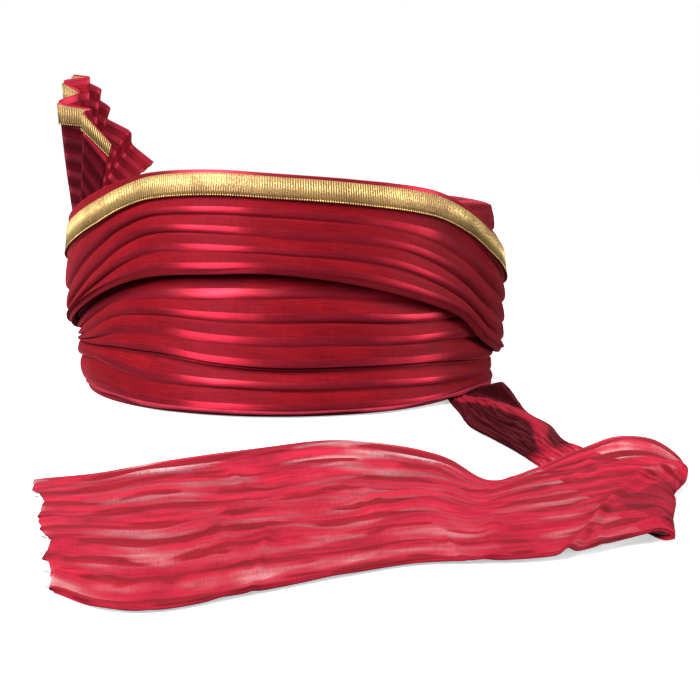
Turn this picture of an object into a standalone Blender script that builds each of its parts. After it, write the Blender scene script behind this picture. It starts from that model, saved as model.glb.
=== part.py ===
"""A tied pagri turban at rest on a flat surface: wound cloth, gold lace, a pleated fan and a loose tail.

Metres, +Z up. The origin is the middle of the head opening, on the surface that the turban rests on.
The front of the turban faces -Y, and its fan stands on the -X side.
"""

from collections import namedtuple
from math import cos, pi, radians, sin

import bmesh
import bpy
import numpy as np

MM = 0.001

# Head opening: half the width and half the depth of its oval, for a 58 cm head
OPENING_HALF_WIDTH = 100 * MM
OPENING_HALF_DEPTH = 82 * MM

# Windings: the wound cloth outside the crown, thicker at the right, and the front wrap that stands over it
CROWN_WALL = 3 * MM
WINDING_THICKNESS = 14 * MM
FRONT_WRAP_THICKNESS = 5.4 * MM
WRAP_GAP = 0.5 * MM
RIGHT_BULGE = 0.08
FRONT_HEIGHT = 124 * MM
PLEAT_DEPTH = 1.5 * MM
REST_FACE_WIDTH = 7 * MM
BASE_TUCK = 6 * MM
BASE_PLEATS = 2
MIDDLE_PLEATS = 7
FRONT_PLEATS = 4
PLEAT_GATHER = 1.4
PLEAT_GATHER_SPAN = 46

# Gold lace of the front wrap and the fan
LACE_WIDTH = 11 * MM
LACE_THICKNESS = 1 * MM
LACE_GAP = 0.45 * MM

# Fan and tail: sizes of the single cloth
CLOTH = 1.2 * MM
SEAT_GAP = 0.3 * MM
FAN_REACH = 103 * MM
FAN_ROOT_SPREAD = 7 * MM
FAN_ROOT_PITCH = 3.1 * MM
TAIL_REACH = 280 * MM
TAIL_WIDTH = 155 * MM
TAIL_LIFT = 13 * MM
TAIL_RELIEF = 5 * MM

# How finely the rings and the tail are divided
RING_STEPS = 54
TAIL_STEPS = 50
TAIL_COLUMNS = 9

# Heights round the ring, as shares of FRONT_HEIGHT. turn is in degrees: 0 front, 90 right, -90 left.
# lace_width is a share of LACE_WIDTH, measured upright, so it is more than 1 where the lace slants.
Level = namedtuple("Level", "turn front_low lace_top lace_width front_top middle_low middle_top")
LEVELS = [
    Level(-180, 0.064, 0.376, 1.00, 0.392, 0.160, 0.832),
    Level(-150, 0.085, 0.430, 1.04, 0.450, 0.175, 0.820),
    Level(-125, 0.140, 0.535, 1.12, 0.560, 0.190, 0.750),
    Level(-106, 0.200, 0.635, 1.20, 0.665, 0.196, 0.630),
    Level(-90, 0.250, 0.706, 1.22, 0.742, 0.202, 0.600),
    Level(-70, 0.352, 0.790, 1.18, 0.830, 0.232, 0.640),
    Level(-50, 0.480, 0.868, 1.10, 0.905, 0.248, 0.745),
    Level(-40, 0.538, 0.930, 1.00, 0.955, 0.250, 0.810),
    Level(-30, 0.576, 0.980, 0.98, 0.990, 0.248, 0.862),
    Level(-15, 0.594, 1.000, 0.96, 1.004, 0.222, 0.900),
    Level(0, 0.598, 0.986, 0.92, 0.992, 0.206, 0.900),
    Level(20, 0.548, 0.956, 0.92, 0.964, 0.204, 0.884),
    Level(40, 0.451, 0.903, 0.98, 0.918, 0.194, 0.868),
    Level(52, 0.373, 0.829, 1.04, 0.850, 0.180, 0.860),
    Level(66, 0.230, 0.716, 1.10, 0.740, 0.152, 0.850),
    Level(90, 0.129, 0.573, 1.24, 0.595, 0.118, 0.820),
    Level(125, 0.077, 0.449, 1.12, 0.468, 0.119, 0.822),
    Level(150, 0.064, 0.395, 1.04, 0.413, 0.146, 0.834),
]

# Profile of the crown, over its shoulder to its top. reach is a share of the way from the middle to the
# wall, and height a share of FRONT_HEIGHT.
Ring = namedtuple("Ring", "reach height")
CROWN_RINGS = [
    Ring(1, 0.56),
    Ring(0.97, 0.72),
    Ring(0.86, 0.775),
    Ring(0.62, 0.825),
    Ring(0.3, 0.842),
    Ring(0, 0.845),
]

# Crease lines of the fan, from its free front edge to its back edge. x, y and z are where the crease meets
# the rim, as shares of FAN_REACH from the middle of the root. outward is 1 on folds at the outer side of the
# root, and bend is how far the crease stands upright before it leans.
Crease = namedtuple("Crease", "outward x y z bend")
CREASES = [
    Crease(-1, 0.185, -0.165, 0.558, 0.10),
    Crease(0, 0.058, -0.185, 0.716, 0.10),
    Crease(1, -0.085, -0.108, 0.773, 0.10),
    Crease(-1, 0.005, 0.028, 0.830, 0.15),
    Crease(1, -0.084, 0.105, 0.890, 0.20),
    Crease(-1, 0.022, 0.185, 0.922, 0.25),
    Crease(1, -0.060, 0.240, 0.938, 0.30),
    Crease(-1, 0.068, 0.300, 0.858, 0.40),
    Crease(1, -0.020, 0.378, 0.843, 0.50),
    Crease(-1, 0.104, 0.380, 0.758, 0.60),
    Crease(1, 0.040, 0.475, 0.706, 0.75),
    Crease(-1, 0.194, 0.456, 0.620, 0.90),
    Crease(1, 0.180, 0.553, 0.552, 1.00),
    Crease(-1, 0.315, 0.553, 0.440, 1.00),
]
FAN_ROOT_TURN = -88
FAN_ROWS = (0.0, 0.1, 0.25, 0.42, 0.6, 0.8, 1.0)

# Cross lines of the tail, from the turban to its cut end. along and out are the middle of the line, as
# shares of TAIL_REACH to the right of, and in front of, the place where the tail leaves the base wrap.
# cross is the direction from its near edge to its far edge, in degrees from +X; width is a share of
# TAIL_WIDTH. A fold lies at hem_at of the width, with a valley behind it, and the lifts are shares of
# TAIL_LIFT above the surface.
CrossLine = namedtuple("CrossLine", "along out cross width near_lift hem_at hem_lift valley_lift far_lift")
CROSS_LINES = [
    CrossLine(-0.010, -0.012, 43, 0.16, 0.00, 0.10, 0.02, 0.10, 0.30),
    CrossLine(0.018, 0.068, 54, 0.30, 0.02, 0.46, 0.20, 0.12, 0.56),
    CrossLine(0.035, 0.200, 45, 0.28, 0.06, 0.80, 0.28, 0.20, 0.16),
    CrossLine(0.067, 0.295, 44, 0.27, 0.06, 0.80, 0.20, 0.14, 0.10),
    CrossLine(0.092, 0.412, 46, 0.22, 0.06, 0.50, 0.14, 0.10, 0.10),
    CrossLine(0.150, 0.560, 64, 0.36, 0.06, 0.42, 0.10, 0.08, 0.10),
    CrossLine(0.213, 0.711, 74, 0.56, 0.06, 0.42, 0.08, 0.08, 0.12),
    CrossLine(0.240, 0.720, 75, 0.61, 0.20, 0.42, 0.26, 0.34, 0.50),
    CrossLine(0.213, 0.690, 79, 0.65, 0.34, 0.42, 0.44, 0.62, 0.98),
    CrossLine(0.154, 0.683, 80, 0.74, 0.30, 0.42, 0.50, 0.52, 0.92),
    CrossLine(0.008, 0.755, 78, 0.75, 0.14, 0.42, 0.40, 0.46, 0.22),
    CrossLine(-0.054, 0.771, 80, 0.70, 0.08, 0.42, 0.34, 0.24, 0.02),
    CrossLine(-0.124, 0.750, 83, 0.79, 0.06, 0.42, 0.40, 0.22, 0.40),
    CrossLine(-0.247, 0.759, 88, 0.93, 0.06, 0.42, 0.22, 0.44, 0.90),
    CrossLine(-0.362, 0.782, 93, 1.00, 0.06, 0.42, 0.36, 0.20, 0.66),
    CrossLine(-0.479, 0.825, 97, 1.08, 0.06, 0.42, 0.18, 0.34, 0.36),
    CrossLine(-0.565, 0.841, 100, 1.03, 0.08, 0.42, 0.30, 0.14, 0.14),
    CrossLine(-0.645, 0.829, 105, 0.92, 0.10, 0.42, 0.14, 0.10, 0.04),
]
TAIL_EXIT_TURN = 60
TAIL_EXIT_SPAN = 28


def wave_table(turns, values, turn):
    """A smooth curve through a table that closes on itself after a full turn, read at an angle in degrees."""
    turns = np.array(list(turns) + [turns[0] + 360])
    values = np.array(list(values) + [values[0]])
    spot = (turn + 180) % 360 - 180
    i = int(np.searchsorted(turns, spot, side="right") - 1)
    count = len(turns) - 1
    before, after = (i - 1) % count, (i + 2) % count
    span = turns[i + 1] - turns[i]
    left = (turns[i] - turns[before]) % 360
    right = (turns[after] - turns[i + 1]) % 360
    slope_in = (values[i + 1] - values[before]) / (left + span) * span
    slope_out = (values[after] - values[i]) / (span + right) * span
    s = (spot - turns[i]) / span
    return (
        values[i] * (2 * s**3 - 3 * s**2 + 1)
        + values[i + 1] * (3 * s**2 - 2 * s**3)
        + slope_in * (s**3 - 2 * s**2 + s)
        + slope_out * (s**3 - s**2)
    )


def levels_at(turn):
    """The row of LEVELS at any turn, in metres."""
    turns = [row.turn for row in LEVELS]
    shares = [wave_table(turns, [row[k] for row in LEVELS], turn) for k in range(1, len(Level._fields))]
    row = Level(turn, *[share * FRONT_HEIGHT for share in shares])
    return row._replace(lace_width=shares[2] * LACE_WIDTH)


def ring_point(turn, offset, height):
    """The point that lies offset outside the head opening's oval."""
    angle = radians(turn)
    thick = offset * (1 + RIGHT_BULGE * sin(angle))
    return (
        (OPENING_HALF_WIDTH + thick) * sin(angle),
        -(OPENING_HALF_DEPTH + thick) * cos(angle),
        height,
    )


def bump(value, middle, half_width):
    """A smooth rise from 0 to 1 and back, centred on middle."""
    share = min(1.0, abs(value - middle) / half_width)
    return 0.5 + 0.5 * cos(pi * share)


def pleats(low, high, count, offset, gather=1.0):
    """The outside of a stack of soft pleats from low to high, each lapping over the one below it."""
    shape = ((0.0, -0.9), (0.12, 0.75), (0.48, 0.9), (0.84, 0.2))
    points = []
    for pleat in range(count):
        for share, rib in shape:
            v = ((pleat + share) / count) ** gather
            points.append((offset + rib * PLEAT_DEPTH / 2, low + (high - low) * v))
    return points


CROWN_OUTSIDE = CROWN_WALL
WINDING_INSIDE = CROWN_OUTSIDE + WRAP_GAP
WINDING_OUTSIDE = WINDING_INSIDE + WINDING_THICKNESS
FRONT_INSIDE = WINDING_OUTSIDE + WRAP_GAP
FRONT_OUTSIDE = FRONT_INSIDE + FRONT_WRAP_THICKNESS


def base_section(turn):
    """Cross-section of the base wrap: flat where it rests, lifted off the tail, thin where it is lapped."""
    top = levels_at(turn).middle_low
    relief = TAIL_RELIEF * bump(turn, TAIL_EXIT_TURN, TAIL_EXIT_SPAN)
    rest_in = WINDING_INSIDE + 0.06 * WINDING_THICKNESS
    tuck = WINDING_INSIDE + 0.6 * WINDING_THICKNESS
    bulge = WINDING_OUTSIDE - PLEAT_DEPTH / 2
    outside = [(rest_in + REST_FACE_WIDTH - 0.7 * relief, 0.0)]
    outside += [(bulge - 0.14 * WINDING_THICKNESS, 0.08 * top + 0.9 * relief)]
    outside += pleats(0.18 * top + 0.9 * relief, top - 3 * WRAP_GAP, BASE_PLEATS, bulge)[1:]
    lapped = [(tuck + 0.1 * WINDING_THICKNESS, top - 2 * WRAP_GAP), (tuck, top + WRAP_GAP)]
    lapped += [(tuck, top + BASE_TUCK), (WINDING_INSIDE, top + BASE_TUCK)]
    return outside + lapped + [(WINDING_INSIDE, 0.12 * top), (rest_in, 0.0)]


def middle_section(turn):
    """Cross-section of the middle wrap, whose pleats gather on the left, under the front wrap's edge."""
    level = levels_at(turn)
    low, top = level.middle_low, level.middle_top
    gather = 1 + PLEAT_GATHER * bump(turn, FAN_ROOT_TURN, PLEAT_GATHER_SPAN)
    outer = WINDING_OUTSIDE - PLEAT_DEPTH / 2
    body = pleats(low, top - 0.3 * WINDING_THICKNESS, MIDDLE_PLEATS, outer, gather)
    roll = [
        (WINDING_INSIDE + 0.82 * WINDING_THICKNESS, top - 0.08 * WINDING_THICKNESS),
        (WINDING_INSIDE + 0.5 * WINDING_THICKNESS, top),
        (WINDING_INSIDE + 0.2 * WINDING_THICKNESS, top - 0.08 * WINDING_THICKNESS),
        (WINDING_INSIDE, top - 0.35 * WINDING_THICKNESS),
    ]
    lap_inside = WINDING_INSIDE + 0.6 * WINDING_THICKNESS + WRAP_GAP
    over_base = low + BASE_TUCK + WRAP_GAP
    lap = [(WINDING_INSIDE, over_base), (lap_inside, over_base), (lap_inside, low + WRAP_GAP)]
    return body + roll + lap


def lace_heights(level):
    """Lower and upper edge of the lace of the front wrap."""
    return level.lace_top - level.lace_width, level.lace_top


def lace_seat(level, height):
    """How far out the smooth face of the front wrap is where the lace is sewn on."""
    share = (level.lace_top - height) / level.lace_width
    return FRONT_OUTSIDE - (0.34 - 0.30 * share) * FRONT_WRAP_THICKNESS


def front_section(turn):
    """Cross-section of the front wrap: pleats, the smooth seat of the lace and a thin top edge."""
    level = levels_at(turn)
    low = level.front_low
    lace_low, lace_top = lace_heights(level)
    outer = FRONT_OUTSIDE - PLEAT_DEPTH / 2
    body = pleats(low + 0.02 * FRONT_HEIGHT, lace_low - 2 * WRAP_GAP, FRONT_PLEATS, outer)
    face = [(lace_seat(level, z), z) for z in (lace_low - WRAP_GAP, lace_top + WRAP_GAP)]
    inside = [
        (FRONT_INSIDE + 0.42 * FRONT_WRAP_THICKNESS, level.front_top + WRAP_GAP),
        (FRONT_INSIDE + 0.12 * FRONT_WRAP_THICKNESS, lace_top - 0.3 * level.lace_width),
        (FRONT_INSIDE, lace_low - 0.2 * (lace_low - low)),
        (FRONT_INSIDE, low + 0.25 * (lace_low - low)),
        (FRONT_INSIDE, low + 0.03 * FRONT_HEIGHT),
        (FRONT_INSIDE + 0.45 * FRONT_WRAP_THICKNESS, low),
    ]
    return body + face + inside


def lace_section(turn):
    """Cross-section of the lace that edges the front wrap."""
    level = levels_at(turn)
    inner = [(lace_seat(level, height) + LACE_GAP, height) for height in lace_heights(level)]
    outer = [(offset + LACE_THICKNESS, height) for offset, height in inner]
    return outer + inner[::-1]


def finish_mesh(name, mesh, material):
    """Turns a bmesh into a named object whose faces point outwards."""
    bmesh.ops.recalc_face_normals(mesh, faces=mesh.faces)
    if mesh.calc_volume(signed=True) < 0:
        bmesh.ops.reverse_faces(mesh, faces=mesh.faces)
    data = bpy.data.meshes.new(name)
    mesh.to_mesh(data)
    mesh.free()
    data.shade_smooth()
    data.set_sharp_from_angle(angle=radians(40))
    obj = bpy.data.objects.new(name, data)
    obj.data.materials.append(material)
    bpy.context.scene.collection.objects.link(obj)
    return obj


def ring_solid(name, section, material):
    """A closed ring: the section is carried once round the oval."""
    mesh = bmesh.new()
    loops = []
    for step in range(RING_STEPS):
        turn = 360 * step / RING_STEPS - 180
        loops.append([mesh.verts.new(ring_point(turn, *point)) for point in section(turn)])
    for step, loop in enumerate(loops):
        following = loops[(step + 1) % RING_STEPS]
        for k in range(len(loop)):
            n = (k + 1) % len(loop)
            mesh.faces.new((loop[k], following[k], following[n], loop[n]))
    return finish_mesh(name, mesh, material)


def crown_solid(name, material):
    """The cap: a wall round the head and a soft dome over it, open below."""
    mesh = bmesh.new()

    def loop(reach, offset, height):
        points = [ring_point(360 * step / RING_STEPS - 180, offset, height) for step in range(RING_STEPS)]
        return [mesh.verts.new((x * reach, y * reach, z)) for x, y, z in points]

    def skin(offset):
        rows = [loop(1, offset, 2 * SEAT_GAP)]
        for ring in CROWN_RINGS[:-1]:
            rows.append(loop(ring.reach, offset, ring.height * FRONT_HEIGHT + offset))
        return rows, mesh.verts.new((0, 0, CROWN_RINGS[-1].height * FRONT_HEIGHT + offset))

    outside, top = skin(CROWN_WALL)
    inside, ceiling = skin(0)
    for k in range(RING_STEPS):
        n = (k + 1) % RING_STEPS
        for rows, pole in ((outside, top), (inside, ceiling)):
            for low, high in zip(rows, rows[1:]):
                mesh.faces.new((low[k], low[n], high[n], high[k]))
            mesh.faces.new((rows[-1][k], rows[-1][n], pole))
        mesh.faces.new((outside[0][k], outside[0][n], inside[0][n], inside[0][k]))
    return finish_mesh(name, mesh, material)


def grid_normals(grid, crisp):
    """Normals of a grid of points, lengthened at crisp folds so that the panels there keep their wall."""
    along = np.gradient(grid, axis=0)
    if not crisp:
        across = np.gradient(grid, axis=1)
        normal = np.cross(along, across)
        return normal / np.linalg.norm(normal, axis=2, keepdims=True)
    panel = np.cross(along[:, :-1] + along[:, 1:], np.diff(grid, axis=1))
    panel /= np.linalg.norm(panel, axis=2, keepdims=True)
    before = np.concatenate([panel[:, :1], panel], axis=1)
    after = np.concatenate([panel, panel[:, -1:]], axis=1)
    middle = before + after
    return 2 * middle / np.maximum((middle * middle).sum(axis=2, keepdims=True), 0.55)


def sheet_solid(name, grid, thickness, material, shift=0.0, crisp=False):
    """Cloth of an even thickness on a grid of points, moved off the grid by shift along its normals."""
    grid = np.array(grid)
    normals = grid_normals(grid, crisp)
    mesh = bmesh.new()
    sides = []
    for offset in (shift + thickness / 2, shift - thickness / 2):
        points = grid + normals * offset
        sides.append([[mesh.verts.new(p) for p in row] for row in points])
    rows, columns = grid.shape[:2]
    for side in sides:
        for i in range(rows - 1):
            for j in range(columns - 1):
                corners = (side[i][j], side[i][j + 1], side[i + 1][j + 1], side[i + 1][j])
                mesh.faces.new(corners)
    rim = [(0, j) for j in range(columns)] + [(i, columns - 1) for i in range(1, rows)]
    rim += [(rows - 1, j) for j in range(columns - 2, -1, -1)] + [(i, 0) for i in range(rows - 2, 0, -1)]
    for (i, j), (k, m) in zip(rim, rim[1:] + rim[:1]):
        mesh.faces.new((sides[0][i][j], sides[0][k][m], sides[1][k][m], sides[1][i][j]))
    return finish_mesh(name, mesh, material)


def fan_grid(rows):
    """Points of the pleated fan, a row for each share of the way from its root to its rim."""
    root_offset = WINDING_INSIDE + 0.6 * WINDING_THICKNESS
    root_height = levels_at(FAN_ROOT_TURN).middle_top + SEAT_GAP
    pitch_turn = np.degrees(FAN_ROOT_PITCH / (OPENING_HALF_DEPTH + root_offset))
    centre = np.array(ring_point(FAN_ROOT_TURN, root_offset, root_height))
    columns = []
    for k, crease in enumerate(CREASES):
        turn = FAN_ROOT_TURN - (k - (len(CREASES) - 1) / 2) * pitch_turn
        seat = levels_at(turn).middle_top + SEAT_GAP
        offset = root_offset + crease.outward * FAN_ROOT_SPREAD / 2
        root = np.array(ring_point(turn, offset, seat))
        rim = centre + FAN_REACH * np.array([crease.x, crease.y, crease.z])
        upright = root + np.array([0, 0, 0.75 * (rim[2] - root[2])])
        control = (root + rim) / 2 * (1 - crease.bend) + upright * crease.bend
        columns.append([root * (1 - s) ** 2 + control * 2 * s * (1 - s) + rim * s**2 for s in rows])
    return np.array(columns).transpose(1, 0, 2)


def smooth_rows(rows, count):
    """A smooth path through rows of numbers, read at count even steps."""
    rows = np.array(rows)
    slopes = np.gradient(rows, axis=0)
    found = []
    for spot in np.linspace(0, len(rows) - 1, count):
        i = min(int(spot), len(rows) - 2)
        s = spot - i
        found.append(
            rows[i] * (2 * s**3 - 3 * s**2 + 1)
            + rows[i + 1] * (3 * s**2 - 2 * s**3)
            + slopes[i] * (s**3 - 2 * s**2 + s)
            + slopes[i + 1] * (s**3 - s**2)
        )
    return np.array(found)


def tail_grid():
    """Points of the tail, a row for each step from the turban to the cut end, near edge first."""
    exit_point = np.array(ring_point(TAIL_EXIT_TURN, WINDING_OUTSIDE - 0.05 * WINDING_THICKNESS, 0))
    grid = []
    for row in smooth_rows(CROSS_LINES, TAIL_STEPS):
        line = CrossLine(*row)
        middle = exit_point + TAIL_REACH * np.array([line.along, -line.out, 0])
        cross = np.array([cos(radians(line.cross)), sin(radians(line.cross)), 0])
        marks = [0, line.hem_at, (line.hem_at + 1) / 2, 1]
        lifts = [line.near_lift, line.hem_lift, line.valley_lift, line.far_lift]
        points = []
        for w in np.linspace(0, 1, TAIL_COLUMNS):
            k = min(int(np.searchsorted(marks, w, side="right") - 1), 2)
            s = (w - marks[k]) / (marks[k + 1] - marks[k])
            ease = s * s * (3 - 2 * s)
            lift = TAIL_LIFT * (lifts[k] * (1 - ease) + lifts[k + 1] * ease)
            point = middle + cross * TAIL_WIDTH * line.width * (w - 0.5)
            points.append((point[0], point[1], lift + CLOTH / 2 + SEAT_GAP))
        grid.append(points)
    return np.array(grid)


def cloth_material(name, colour, roughness, metallic=0.0):
    """A plain finish in the cloth's own colour."""
    material = bpy.data.materials.new(name)
    material.use_nodes = True
    shader = material.node_tree.nodes["Principled BSDF"]
    shader.inputs["Base Color"].default_value = (*colour, 1)
    shader.inputs["Roughness"].default_value = roughness
    shader.inputs["Metallic"].default_value = metallic
    material.diffuse_color = (*colour, 1)
    return material


def main():
    for obj in list(bpy.data.objects):
        bpy.data.objects.remove(obj)
    wound = cloth_material("wound_cloth", (0.36, 0.012, 0.03), 0.45)
    lining = cloth_material("crown_cloth", (0.28, 0.01, 0.025), 0.6)
    loose = cloth_material("loose_cloth", (0.55, 0.03, 0.08), 0.5)
    gold = cloth_material("gold_lace", (0.62, 0.42, 0.12), 0.35, 0.8)
    crown_solid("crown_cap", lining)
    ring_solid("base_wrap", base_section, wound)
    ring_solid("middle_wrap", middle_section, wound)
    ring_solid("front_wrap", front_section, wound)
    ring_solid("front_lace", lace_section, gold)
    fan = fan_grid(FAN_ROWS)
    sheet_solid("side_fan", fan, CLOTH, wound, crisp=True)
    lace_start = 1 - 1.1 * LACE_WIDTH / FAN_REACH
    lace_lines = fan_grid((lace_start, (lace_start + 1) / 2, 0.985))
    lace_shift = (CLOTH + LACE_THICKNESS) / 2 + LACE_GAP
    sheet_solid("fan_lace", lace_lines, LACE_THICKNESS, gold, shift=lace_shift, crisp=True)
    sheet_solid("tail", tail_grid(), CLOTH, loose)


main()
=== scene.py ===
"""A tied pagri turban: wound satin-stripe organza, gold lace, a pleated side fan and a loose tail."""

from collections import namedtuple
from math import radians

import bmesh
import bpy
import numpy as np
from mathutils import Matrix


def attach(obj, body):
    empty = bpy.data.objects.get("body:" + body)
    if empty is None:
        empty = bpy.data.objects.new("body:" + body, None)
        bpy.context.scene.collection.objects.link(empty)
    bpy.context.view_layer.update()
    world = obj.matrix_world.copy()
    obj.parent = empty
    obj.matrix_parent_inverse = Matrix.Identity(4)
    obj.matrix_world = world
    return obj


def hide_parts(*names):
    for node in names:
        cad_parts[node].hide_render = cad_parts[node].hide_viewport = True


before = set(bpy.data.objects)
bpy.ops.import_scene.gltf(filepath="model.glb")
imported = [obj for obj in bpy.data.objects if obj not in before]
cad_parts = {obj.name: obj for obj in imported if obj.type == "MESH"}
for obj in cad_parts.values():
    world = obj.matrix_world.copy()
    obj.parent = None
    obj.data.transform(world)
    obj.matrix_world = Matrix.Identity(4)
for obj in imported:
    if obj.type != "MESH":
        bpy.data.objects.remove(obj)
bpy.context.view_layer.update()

# Crown cap. The turban is wound over a light cloth cap that closes its top and holds the windings. The
# photograph hides it, so it is covered in the same striped cloth, laid in lapped pleats from side to side
# over the crown, with a plain woven lining inside.
MM = 0.001
OPENING_HALF_WIDTH = 100 * MM
OPENING_HALF_DEPTH = 82 * MM
RIGHT_BULGE = 0.08
FRONT_HEIGHT = 124 * MM
CROWN_WALL = 3 * MM
SEAT_GAP = 0.3 * MM
STRIPE_PITCH = 10.7 * MM
CROWN_PLEAT_RELIEF = 0.7 * MM
RING_STEPS = 480
CROWN_STEPS = 70
BAND_START = 0.05
BAND_BLUR = (0.015, 0.025)
THREAD_RELIEF = 0.03 * MM
DEEP_SATIN = (0.28, 0.0092, 0.0220)
SHEER_RED = (0.122, 0.0028, 0.0054)
LINING_RED = (0.16, 0.006, 0.014)
GLINT_RED = (1.0, 0.15, 0.27)
SHEEN_RED = (1.0, 0.12, 0.17)
Ring = namedtuple("Ring", "reach height")
CROWN_RINGS = [
    Ring(1, 0.005), Ring(1, 0.2), Ring(1, 0.4), Ring(1, 0.56), Ring(0.97, 0.72), Ring(0.86, 0.775),
    Ring(0.62, 0.825), Ring(0.3, 0.842), Ring(0.02, 0.845),
]


def ring_points(turn, offset, height):
    """Points that lie offset outside the head opening's oval. turn is in degrees, 0 at the front."""
    angle = np.radians(turn)
    thick = offset * (1 + RIGHT_BULGE * np.sin(angle))
    x = (OPENING_HALF_WIDTH + thick) * np.sin(angle)
    y = -(OPENING_HALF_DEPTH + thick) * np.cos(angle)
    return np.stack(np.broadcast_arrays(x, y, height), axis=-1)


def smooth_step(start, end, slope_in, slope_out, s):
    """Values from start to end with these slopes at the two ends, at a share s of the way."""
    inner = start * (2 * s**3 - 3 * s**2 + 1) + end * (3 * s**2 - 2 * s**3)
    return inner + slope_in * (s**3 - 2 * s**2 + s) + slope_out * (s**3 - s**2)


def smooth_rows(rows, count):
    """A smooth path through rows of numbers, read at count even steps."""
    rows = np.array(rows, float)
    slopes = np.gradient(rows, axis=0)
    spots = np.linspace(0, len(rows) - 1, count)
    i = np.minimum(spots.astype(int), len(rows) - 2)
    s = (spots - i).reshape(-1, *[1] * (rows.ndim - 1))
    return smooth_step(rows[i], rows[i + 1], slopes[i], slopes[i + 1], s)


def drift(turn, row, seed, low, high):
    """Unevenness round the ring, about -1 to 1, in low to high waves a turn; it shifts from row to row."""
    dice = np.random.default_rng(seed)
    total = 0
    for wave in range(low, high + 1):
        phase, lean = dice.uniform(0, 2 * np.pi), dice.uniform(-1.6, 1.6)
        total = total + np.sin(wave * np.radians(turn) + lean * row + phase) / np.sqrt(high - low + 1)
    return total


def bump(value, middle, half_width):
    """A smooth rise from 0 to 1 and back, centred on middle."""
    share = np.clip(np.abs(value - middle) / half_width, 0, 1)
    return 0.5 + 0.5 * np.cos(np.pi * share)


def placed(name, data):
    """A new object that holds this data, unturned at the origin."""
    thing = bpy.data.objects.new(name, data)
    bpy.context.scene.collection.objects.link(thing)
    return thing


def cloth_mesh(name, points, weave, faces, material, lining=None, lining_faces=(), shade=None):
    """A finished piece: points, the cloth's own coordinates at each corner of each face, and its finish."""
    data = bpy.data.meshes.new(name)
    data.from_pydata([tuple(p) for p in points], [], faces)
    weave_map = data.uv_layers.new(name="weave")
    weave_map.data.foreach_set("uv", np.asarray(weave, np.float32).ravel())
    if shade is not None:
        shade_layer = data.attributes.new("shade", "FLOAT", "POINT")
        shade_layer.data.foreach_set("value", np.asarray(shade, np.float32).ravel())
    data.materials.append(material)
    if lining:
        data.materials.append(lining)
        for face in lining_faces:
            data.polygons[face].material_index = 1
    mesh = bmesh.new()
    mesh.from_mesh(data)
    bmesh.ops.recalc_face_normals(mesh, faces=mesh.faces)
    if mesh.calc_volume(signed=True) < 0:
        bmesh.ops.reverse_faces(mesh, faces=mesh.faces)
    mesh.to_mesh(data)
    mesh.free()
    data.shade_smooth()
    piece = placed(name, data)
    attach(piece, "root")
    return piece


def closed_ring(name, grid, weave, material):
    """Skins a grid of points that closes on itself both ways. weave has one row and column more."""
    rows, columns = grid.shape[:2]
    i, j = np.meshgrid(np.arange(rows), np.arange(columns), indexing="ij")
    corners = [(i, j), (i + 1, j), (i + 1, j + 1), (i, j + 1)]
    faces = np.stack([(a % rows) * columns + b % columns for a, b in corners], axis=-1)
    loops = np.stack([weave[a, b] for a, b in corners], axis=-2)
    return cloth_mesh(name, grid.reshape(-1, 3), loops, faces.reshape(-1, 4).tolist(), material)


def feed(tree, node, inputs):
    """Sets a node's inputs, or links those that come from other nodes."""
    for socket, value in dict(inputs).items():
        if isinstance(value, bpy.types.NodeSocket):
            tree.links.new(value, node.inputs[socket])
        else:
            node.inputs[socket].default_value = value


def add_node(tree, kind, inputs=(), **settings):
    """Adds a node, sets its settings and feeds its inputs."""
    node = tree.nodes.new(kind)
    for setting, value in settings.items():
        setattr(node, setting, value)
    feed(tree, node, inputs)
    return node


def result(tree, kind, inputs=(), **settings):
    """The first output of a new node."""
    return add_node(tree, kind, inputs, **settings).outputs[0]


def calculate(tree, operation, *values):
    """The result of one Math node."""
    return result(tree, "ShaderNodeMath", dict(enumerate(values)), operation=operation)


def mixed(tree, kind, factor, low, high, blend="MIX"):
    """The result of one Mix node, of colours or of values."""
    first, made = (6, 2) if kind == "RGBA" else (2, 0)
    inputs = {0: factor, first: low, first + 1: high}
    return add_node(tree, "ShaderNodeMix", inputs, data_type=kind, blend_type=blend).outputs[made]


def map_range(tree, value, low, high, to_low=0.0, to_high=1.0, way="LINEAR"):
    """The result of one Map Range node, which turns low to high into to_low to to_high."""
    inputs = {"Value": value, "From Min": low, "From Max": high, "To Min": to_low, "To Max": to_high}
    return result(tree, "ShaderNodeMapRange", inputs, interpolation_type=way)


def noise(tree, place, scale, detail, rough=0.5):
    """The value of one Noise Texture node."""
    inputs = {"Vector": place, "Scale": scale, "Detail": detail, "Roughness": rough}
    return result(tree, "ShaderNodeTexNoise", inputs)


def new_group(kind, name, inputs, outputs, values=()):
    """A node group with named sockets, given with their kinds; values are what some inputs start with."""
    tree = bpy.data.node_groups.new(name, kind)
    for way, sockets in (("INPUT", inputs), ("OUTPUT", outputs)):
        for socket, holds in sockets.items():
            tree.interface.new_socket(socket, in_out=way, socket_type="NodeSocket" + holds)
    for item in tree.interface.items_tree:
        if item.name in values and item.in_out == "INPUT":
            item.default_value = values[item.name]
    return tree, tree.nodes.new("NodeGroupInput").outputs, tree.nodes.new("NodeGroupOutput").inputs


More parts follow.
